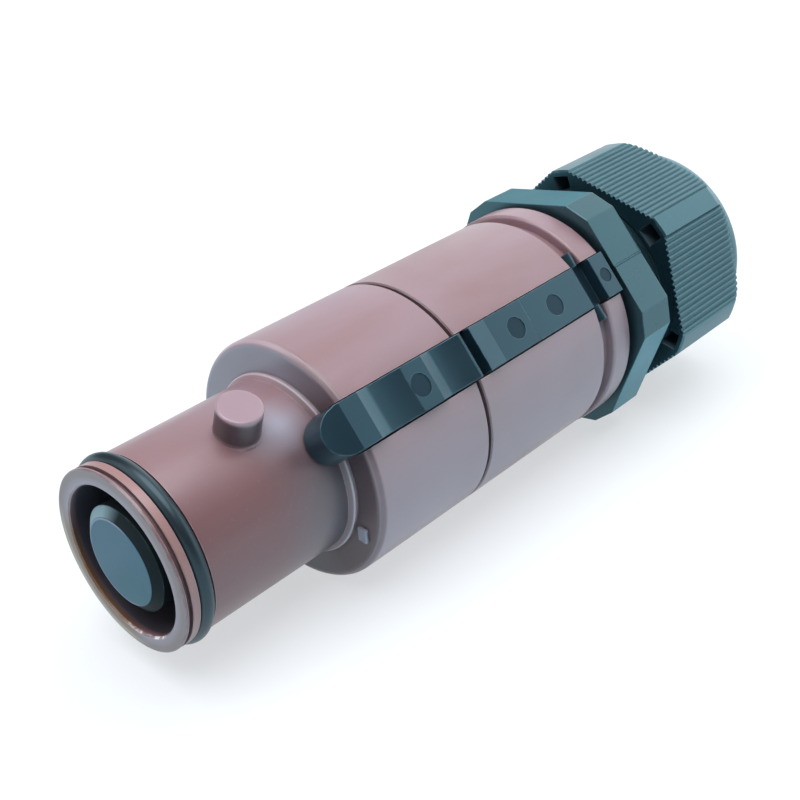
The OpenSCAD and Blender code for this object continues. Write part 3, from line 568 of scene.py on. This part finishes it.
FRONT_BROWN = brown_moulding("front_shell_brown", tints=front_colours)
REAR_BROWN = brown_moulding("rear_shell_brown", grime_shade_amount=0.35, tints=rear_colours)
LATCH_BLACK = black_moulding("latch_black", colour=(0.010, 0.023, 0.036, 1.0), roughness=0.34, ior=1.68,
                             edge_amount=0.8)
MARK_BLACK = black_moulding("ejector_mark_black", colour=(0.011, 0.029, 0.044, 1.0), roughness=0.45, ior=1.5,
                            specular=0.5)
# Its wide reach gives the flange's front face painted shade.
GLAND_BLACK = black_moulding("gland_black", tint=(0.32, 0.66, 0.74, 1.0), grime_shade_reach=6.0)
# Paler copies of the black plastic: painted light on the flange's top sides and on its low corner sides.
FLANGE_TOP_PAINTED_LIGHT = black_moulding("flange_top_painted_light", colour=(0.060, 0.170, 0.205, 1.0), roughness=0.6,
                                  ior=1.4, specular=0.3)
FLANGE_LOW_PAINTED_LIGHT = black_moulding("flange_low_painted_light", colour=(0.050, 0.175, 0.215, 1.0), roughness=0.4,
                                  tint=(0.30, 0.66, 0.76, 1.0))
# Its wide reach gives the nut's front face and pockets painted shade.
NUT_BLACK = black_moulding("nut_black", grime_shade_colour=(0.020, 0.034, 0.042, 1.0), roughness=0.3,
                           tint=(0.40, 0.84, 0.96, 1.0), grime_shade_reach=7.0, grime_shade_amount=0.9)
# A paler copy of the black plastic: painted light inside the nut's pockets, against their shade.
POCKET_PAINTED_LIGHT = black_moulding("pocket_painted_light", colour=(0.090, 0.140, 0.170, 1.0), roughness=0.6, ior=1.3,
                              specular=0.2, edge_amount=0.0, grime_shade_amount=0.0)
# A darker copy of the black plastic: painted shade on the tip's bevel and side.
TIP_SIDE_PAINTED_SHADE = black_moulding("tip_side_painted_shade", colour=(0.016, 0.021, 0.023, 1.0), roughness=0.5, ior=1.3,
                                specular=0.25, tints=tip_side_colours)
# A paler copy of the black plastic: painted light on the tip's face.
TIP_FACE_PAINTED_LIGHT = moulded_plastic(
    "tip_face_painted_light", colour=(0.042, 0.112, 0.172, 1.0), flow_colour=(0.036, 0.110, 0.140, 1.0),
    edge_colour=(0.20, 0.30, 0.36, 1.0), grime_shade_colour=(0.02, 0.03, 0.04, 1.0),
    roughness=0.4, ior=1.4, specular=0.3, grain_scale=5200.0, grain_height=0.010, flow_scale=60.0,
    edge_amount=1.0, speck_amount=0.05, grime_shade_reach=1.5, grime_shade_amount=0.3, tints=tip_face_colours)
GATE_PALE = moulded_plastic(
    "torn_gate", colour=(0.36, 0.36, 0.42, 1.0), flow_colour=(0.24, 0.23, 0.28, 1.0),
    edge_colour=(0.55, 0.54, 0.60, 1.0), grime_shade_colour=(0.05, 0.04, 0.05, 1.0),
    roughness=0.5, grain_scale=2600.0, grain_height=0.05, flow_scale=420.0, speck_amount=0.3, grime_shade_reach=0.8)
RUBBER = moulded_plastic(
    "seal_rubber", colour=(0.016, 0.026, 0.032, 1.0), flow_colour=(0.012, 0.018, 0.022, 1.0),
    edge_colour=(0.05, 0.06, 0.065, 1.0), grime_shade_colour=(0.003, 0.003, 0.004, 1.0),
    roughness=0.34, ior=1.55, specular=0.6, tint=(0.6, 0.85, 1.0, 1.0), grain_scale=7000.0,
    grain_height=0.008, flow_scale=60.0, edge_amount=0.2, speck_amount=0.15, grime_shade_reach=2.0, grime_shade_amount=0.9)
CARRIER = moulded_plastic(
    "insulator_grey_moulding", colour=(0.46, 0.45, 0.41, 1.0), flow_colour=(0.40, 0.39, 0.36, 1.0),
    edge_colour=(0.60, 0.59, 0.55, 1.0), grime_shade_colour=(0.12, 0.11, 0.09, 1.0),
    roughness=0.45, grain_height=0.010, flow_scale=40.0, edge_amount=0.3, speck_amount=0.1)
SILVER = turned_metal("contact_silver", (0.86, 0.85, 0.81, 1.0), (0.62, 0.57, 0.47, 1.0), roughness=0.24)
BRASS = turned_metal("ring_brass", (0.80, 0.62, 0.30, 1.0), (0.50, 0.36, 0.17, 1.0), roughness=0.28)
STEEL = turned_metal("screw_steel", (0.60, 0.61, 0.62, 1.0), (0.40, 0.38, 0.36, 1.0), roughness=0.30)

NODE_FINISH = {
    "front_shell": FRONT_BROWN, "rear_housing": REAR_BROWN,
    "nose_o_ring": RUBBER, "contact_seal": RUBBER, "carrier_seal": RUBBER,
    "housing_joint_seal": RUBBER, "gland_gasket": RUBBER, "sealing_bush": RUBBER,
    "clamping_cage": GLAND_BLACK, "contact_carrier": CARRIER, "thrust_washer": CARRIER,
    "contact_pin": SILVER, "contact_retaining_ring": BRASS,
    "clamp_screw_front": STEEL, "clamp_screw_rear": STEEL,
}


def dress_nodes():
    for name, material in NODE_FINISH.items():
        mesh = nodes[name].data
        mesh.materials.clear()
        mesh.materials.append(material)


def station(vertex):
    return vertex.co.x / MM


def radius(vertex):
    return math.hypot(vertex.co.y, vertex.co.z) / MM


def across_latch(vertex):
    """Millimetres from the latch's middle line, towards the top of the plug."""
    return (vertex.co.y * math.cos(LATCH_ANGLE) + vertex.co.z * math.sin(LATCH_ANGLE)) / MM


MERGE_WITHIN = 0.002 * MM
FLAT_WITHIN = math.radians(0.4)
SHARP_FROM = math.radians(28.0)


def copy_node(name):
    """A node's solid with its triangles joined into whole faces, as the start of a finished piece."""
    build = bmesh.new()
    build.from_mesh(nodes[name].data)
    bmesh.ops.remove_doubles(build, verts=build.verts, dist=MERGE_WITHIN)
    bmesh.ops.dissolve_limit(build, angle_limit=FLAT_WITHIN, verts=build.verts, edges=build.edges)
    return build


def soften(build, width, longer_than, chosen=lambda vertex: True):
    """Rounds the sharp edges longer than a length in millimetres whose ends are both chosen."""
    sharp = [edge for edge in build.edges
             if len(edge.link_faces) == 2 and edge.calc_face_angle(0.0) > SHARP_FROM
             and edge.calc_length() > longer_than * MM and all(chosen(v) for v in edge.verts)]
    bmesh.ops.bevel(build, geom=sharp, offset=width * MM, offset_type="OFFSET", segments=2, profile=0.5,
                    affect="EDGES", clamp_overlap=False, material=-1)


def finish_piece(build, name, body, materials, stands_for=None, smooth_below=18.0):
    mesh = bpy.data.meshes.new(name)
    build.to_mesh(mesh)
    build.free()
    mesh.shade_smooth()
    mesh.set_sharp_from_angle(angle=math.radians(smooth_below))
    for material in materials:
        mesh.materials.append(material)
    piece = bpy.data.objects.new(name, mesh)
    bpy.context.scene.collection.objects.link(piece)
    piece.modifiers.new("even_shading", "WEIGHTED_NORMAL").keep_sharp = True
    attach(piece, body)
    if stands_for:
        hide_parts(stands_for)
    return piece


LATCH_ROUNDING = 0.13
LATCH_EDGES_FROM = 0.5
LATCH_SMOOTH_BELOW = 7.5
UPPER_SIDE_SHIFT = 0.2
SIDE_WITHIN = 0.02
# An ejector mark is a face of many corners, its area between these in square millimetres
MARK_CORNERS = 30
MARK_AREAS = (8.0, 19.0)


def mould_latch():
    """The latch with softened edges, dull ejector marks and its upper side closer to the channel's wall."""
    build = copy_node("latch_lever")
    upper = [v for v in build.verts if abs(across_latch(v) - LATCH_HALF_W) < SIDE_WITHIN]
    shift = Vector((0.0, math.cos(LATCH_ANGLE), math.sin(LATCH_ANGLE))) * UPPER_SIDE_SHIFT * MM
    bmesh.ops.translate(build, verts=upper, vec=shift)
    for face in build.faces:
        area = face.calc_area() / MM ** 2
        if len(face.verts) > MARK_CORNERS and MARK_AREAS[0] < area < MARK_AREAS[1]:
            face.material_index = 1
    soften(build, LATCH_ROUNDING, LATCH_EDGES_FROM)
    finish_piece(build, "latch_strip", "latch", [LATCH_BLACK, MARK_BLACK],
                 stands_for="latch_lever", smooth_below=LATCH_SMOOTH_BELOW)


TIP_ROUNDING = 0.12
TIP_FACE_END = 0.1
FACING_MOUTH = -0.85


def mould_tip():
    """The contact's insulating tip: its face pale with painted light, and its bevel and side darker with
    painted shade.
    """
    build = copy_node("contact_tip_cap")
    soften(build, TIP_ROUNDING, 0.0, lambda v: station(v) < TIP_FACE_END)
    for face in build.faces:
        face.material_index = 0 if face.normal.x < FACING_MOUTH else 1
    finish_piece(build, "insulating_tip", "connector", [TIP_FACE_PAINTED_LIGHT, TIP_SIDE_PAINTED_SHADE],
                 stands_for="contact_tip_cap")


THREAD_PITCH = 1.5
THREAD_DEPTH = 0.75
THREAD_STEPS = 40
THREAD_MARGIN = 0.1
NECK_WITHIN = 0.05
FLANGE_ROUNDING = 0.16
FLANGE_EDGES_FROM = 4.0
FLANGE_END = 132.7
FLANGE_SIDES_R = 26.5
# How the normals of the two flange sides given painted light lie
FAR_SIDE_Y, FAR_SIDE_Z = 0.1, 0.5
LOW_CORNER_Y, LOW_CORNER_Z = -0.8, (-0.5, -0.2)


def mould_gland():
    """The flange and neck, the neck cut down to its thread's root and two of the flange's sides given painted
    light.
    """
    build = copy_node("gland_body")
    for v in build.verts:
        on_thread = THREAD_FROM - THREAD_MARGIN < station(v) < THREAD_TO + THREAD_MARGIN
        if on_thread and abs(radius(v) - NECK_R) < NECK_WITHIN:
            share = (NECK_R - THREAD_DEPTH) / radius(v)
            v.co.y *= share
            v.co.z *= share
    soften(build, FLANGE_ROUNDING, FLANGE_EDGES_FROM, lambda v: radius(v) > FLANGE_SIDES_R)
    for face in build.faces:
        middle, normal = face.calc_center_median(), face.normal
        if middle.x > FLANGE_END * MM:
            continue
        # Painted light on the flange's far upper sides and its low corner sides.
        if normal.y > FAR_SIDE_Y and normal.z > FAR_SIDE_Z:
            face.material_index = 1
        elif normal.y < LOW_CORNER_Y and LOW_CORNER_Z[0] < normal.z < LOW_CORNER_Z[1] \
                and middle.yz.length > FLANGE_SIDES_R * MM:
            face.material_index = 2
    finish_piece(build, "gland_flange_and_neck", "connector",
                 [GLAND_BLACK, FLANGE_TOP_PAINTED_LIGHT, FLANGE_LOW_PAINTED_LIGHT], stands_for="gland_body")


RIDGE_SUNK = 0.1
CREST_CLEARANCE = 0.03
RIDGE_FLANK, RIDGE_CREST = 0.5, 0.25


def wind_neck_thread():
    """The ridge of the neck's thread, wound from its own section, inside the nut's bore."""
    turns = int((THREAD_TO - THREAD_FROM) / THREAD_PITCH)
    root, crest = NECK_R - THREAD_DEPTH - RIDGE_SUNK, NECK_R - CREST_CLEARANCE
    section = ((0.0, root), (RIDGE_FLANK, crest), (RIDGE_FLANK + RIDGE_CREST, crest),
               (2 * RIDGE_FLANK + RIDGE_CREST, root))
    build = bmesh.new()
    corners = [build.verts.new(((THREAD_FROM + along) * MM, 0.0, out * MM)) for along, out in section]
    profile = build.faces.new(corners)
    bmesh.ops.spin(build, geom=[profile, *profile.edges, *corners], cent=(0, 0, 0), axis=(1, 0, 0),
                   dvec=(THREAD_PITCH * MM / THREAD_STEPS, 0, 0), angle=turns * math.tau,
                   steps=turns * THREAD_STEPS, use_merge=False, use_duplicate=False)
    bmesh.ops.remove_doubles(build, verts=build.verts, dist=MERGE_WITHIN)
    bmesh.ops.recalc_face_normals(build, faces=build.faces)
    finish_piece(build, "neck_thread", "connector", [GLAND_BLACK])


NUT_ROUNDING = 0.08
NUT_EDGES_FROM = 1.5
NUT_FRONT = 140.1
POCKET_TURN = 60.0
POCKET_ANGLE = 45.0
POCKET_HALF_TURN = 6.0
POCKET_R = (23.8, 28.2)
POCKET_END = 150.2


def mould_nut():
    """The gland nut with its ribs, bands and rims softened, and painted light on its pockets, which makes them
    dull and paler.
    """
    build = copy_node("gland_nut")
    soften(build, NUT_ROUNDING, NUT_EDGES_FROM)
    for face in build.faces:
        middle = face.calc_center_median()
        turn = math.degrees(math.atan2(-middle.y, middle.z))
        from_pocket = abs((turn - POCKET_ANGLE + POCKET_TURN / 2) % POCKET_TURN - POCKET_TURN / 2)
        if from_pocket < POCKET_HALF_TURN and POCKET_R[0] < middle.yz.length / MM < POCKET_R[1] \
                and NUT_FRONT < middle.x / MM < POCKET_END:
            face.material_index = 1
    finish_piece(build, "gland_nut_moulding", "nut", [NUT_BLACK, POCKET_PAINTED_LIGHT],
                 stands_for="gland_nut")


GATE_MIDDLE = (40.4, -20.55, -8.1)
GATE_SIZE = (1.0, 2.3, 3.2)
GATE_ROUNDING = 0.3
TORN_BY = 0.16
TORN_WAVES_Y, TORN_WAVES_Z = 3.1, 4.3


def leave_gate_mark():
    """The torn stub of the mould's gate on the shoulder, below the latch."""
    build = bmesh.new()
    bmesh.ops.create_cube(build, size=1.0)
    bmesh.ops.scale(build, verts=build.verts, vec=[side * MM for side in GATE_SIZE])
    bmesh.ops.bevel(build, geom=build.edges, offset=GATE_ROUNDING * MM, offset_type="OFFSET", segments=3,
                    profile=0.5, affect="EDGES", clamp_overlap=True, material=-1)
    bmesh.ops.subdivide_edges(build, edges=build.edges, cuts=2, use_grid_fill=True)
    for v in build.verts:
        torn = math.sin(v.co.y / MM * TORN_WAVES_Y) * math.sin(v.co.z / MM * TORN_WAVES_Z + 1.0)
        v.co.x += TORN_BY * MM * torn
    bmesh.ops.translate(build, verts=build.verts, vec=[place * MM for place in GATE_MIDDLE])
    finish_piece(build, "gate_mark", "connector", [GATE_PALE])


dress_nodes()
mould_latch()
mould_tip()
mould_gland()
wind_neck_thread()
mould_nut()
leave_gate_mark()

# Floor: the plug rests on its shoulder's edge and on the gland's lowest corner
FLOOR_SLOPE = math.radians(1.836)
FLOOR_TOUCH = Vector((0.0421, 0.0, -0.0260))
FLOOR_HALF = 4.0
FLOOR_GLOW = 0.6
FLOOR_SEEN = (0.90, 0.95, 1.0, 1.0)
FLOOR_GLOW_COLOUR = (0.97, 0.985, 1.0, 1.0)
FLOOR_BOUNCE = (0.62, 0.86, 0.97, 1.0)


def lay_floor():
    mesh = bpy.data.meshes.new("studio_floor")
    floor = bpy.data.objects.new("studio_floor", mesh)
    bpy.context.scene.collection.objects.link(floor)
    build = bmesh.new()
    bmesh.ops.create_grid(build, x_segments=2, y_segments=2, size=FLOOR_HALF)
    bmesh.ops.rotate(build, verts=build.verts, matrix=Matrix.Rotation(FLOOR_SLOPE, 3, "Y"))
    bmesh.ops.translate(build, verts=build.verts, vec=FLOOR_TOUCH)
    build.to_mesh(mesh)
    build.free()
    material, tree, shader, _ = start_material("floor_white", 0.8, specular=0.1)
    output = tree.nodes["Material Output"]
    path = add_node(tree, "ShaderNodeLightPath")
    tree.links.new(blend_colours(tree, path.outputs["Is Camera Ray"], FLOOR_BOUNCE, FLOOR_SEEN),
                   shader.inputs["Base Color"])
    seen = maths(tree, "MAXIMUM", path.outputs["Is Camera Ray"], path.outputs["Is Glossy Ray"])
    seen = maths(tree, "MAXIMUM", seen, path.outputs["Is Transmission Ray"])
    glow = add_node(tree, "ShaderNodeEmission", {"Color": FLOOR_GLOW_COLOUR, "Strength": 1.0})
    mix = add_node(tree, "ShaderNodeMixShader")
    tree.links.new(product(tree, seen, FLOOR_GLOW), mix.inputs[0])
    tree.links.new(shader.outputs["BSDF"], mix.inputs[1])
    tree.links.new(glow.outputs["Emission"], mix.inputs[2])
    tree.links.new(mix.outputs["Shader"], output.inputs["Surface"])
    mesh.materials.append(material)


# Soft light: a sky dark before the mouth and bright behind the gland, a wide lamp above, a weak one at the left
SKY_BASE = 0.07
SKY_DARK_TO = 0.25
SKY_BRIGHT = 2.2
SKY_COLOUR = (0.88, 0.96, 1.0, 1.0)
LAMP_COLOUR = (0.97, 0.98, 1.0)
LAMP_ANGLE = math.radians(60)
KEY_FROM, KEY_STRENGTH = Vector((-0.10, -0.05, 0.99)), 2.9
FILL_FROM, FILL_STRENGTH = Vector((-0.75, 0.45, 0.50)), 1.0


def light_studio():
    world = bpy.data.worlds.new("studio")
    bpy.context.scene.world = world
    world.use_nodes = True
    tree = world.node_tree
    tree.nodes.clear()
    output = tree.nodes.new("ShaderNodeOutputWorld")
    path = add_node(tree, "ShaderNodeLightPath")
    place = add_node(tree, "ShaderNodeTexCoord")
    toward = add_node(tree, "ShaderNodeSeparateXYZ")
    tree.links.new(place.outputs["Generated"], toward.inputs["Vector"])
    strength = span(tree, toward.outputs["X"], SKY_DARK_TO, 1.0, SKY_BASE, SKY_BRIGHT)
    soft = add_node(tree, "ShaderNodeBackground", {"Color": SKY_COLOUR})
    tree.links.new(strength, soft.inputs["Strength"])
    white = add_node(tree, "ShaderNodeBackground", {"Color": WHITE, "Strength": 1.0})
    mix = add_node(tree, "ShaderNodeMixShader")
    tree.links.new(path.outputs["Is Camera Ray"], mix.inputs[0])
    tree.links.new(soft.outputs["Background"], mix.inputs[1])
    tree.links.new(white.outputs["Background"], mix.inputs[2])
    tree.links.new(mix.outputs["Shader"], output.inputs["Surface"])


def hang_lamp(name, comes_from, strength):
    data = bpy.data.lights.new(name, "SUN")
    data.energy = strength
    data.angle = LAMP_ANGLE
    data.color = LAMP_COLOUR
    lamp = bpy.data.objects.new(name, data)
    bpy.context.scene.collection.objects.link(lamp)
    lamp.rotation_mode = "QUATERNION"
    lamp.rotation_quaternion = comes_from.to_track_quat("Z", "Y")


lay_floor()
light_studio()
hang_lamp("soft_key", KEY_FROM, KEY_STRENGTH)
hang_lamp("soft_fill", FILL_FROM, FILL_STRENGTH)
bpy.context.scene.view_settings.view_transform = "Standard"
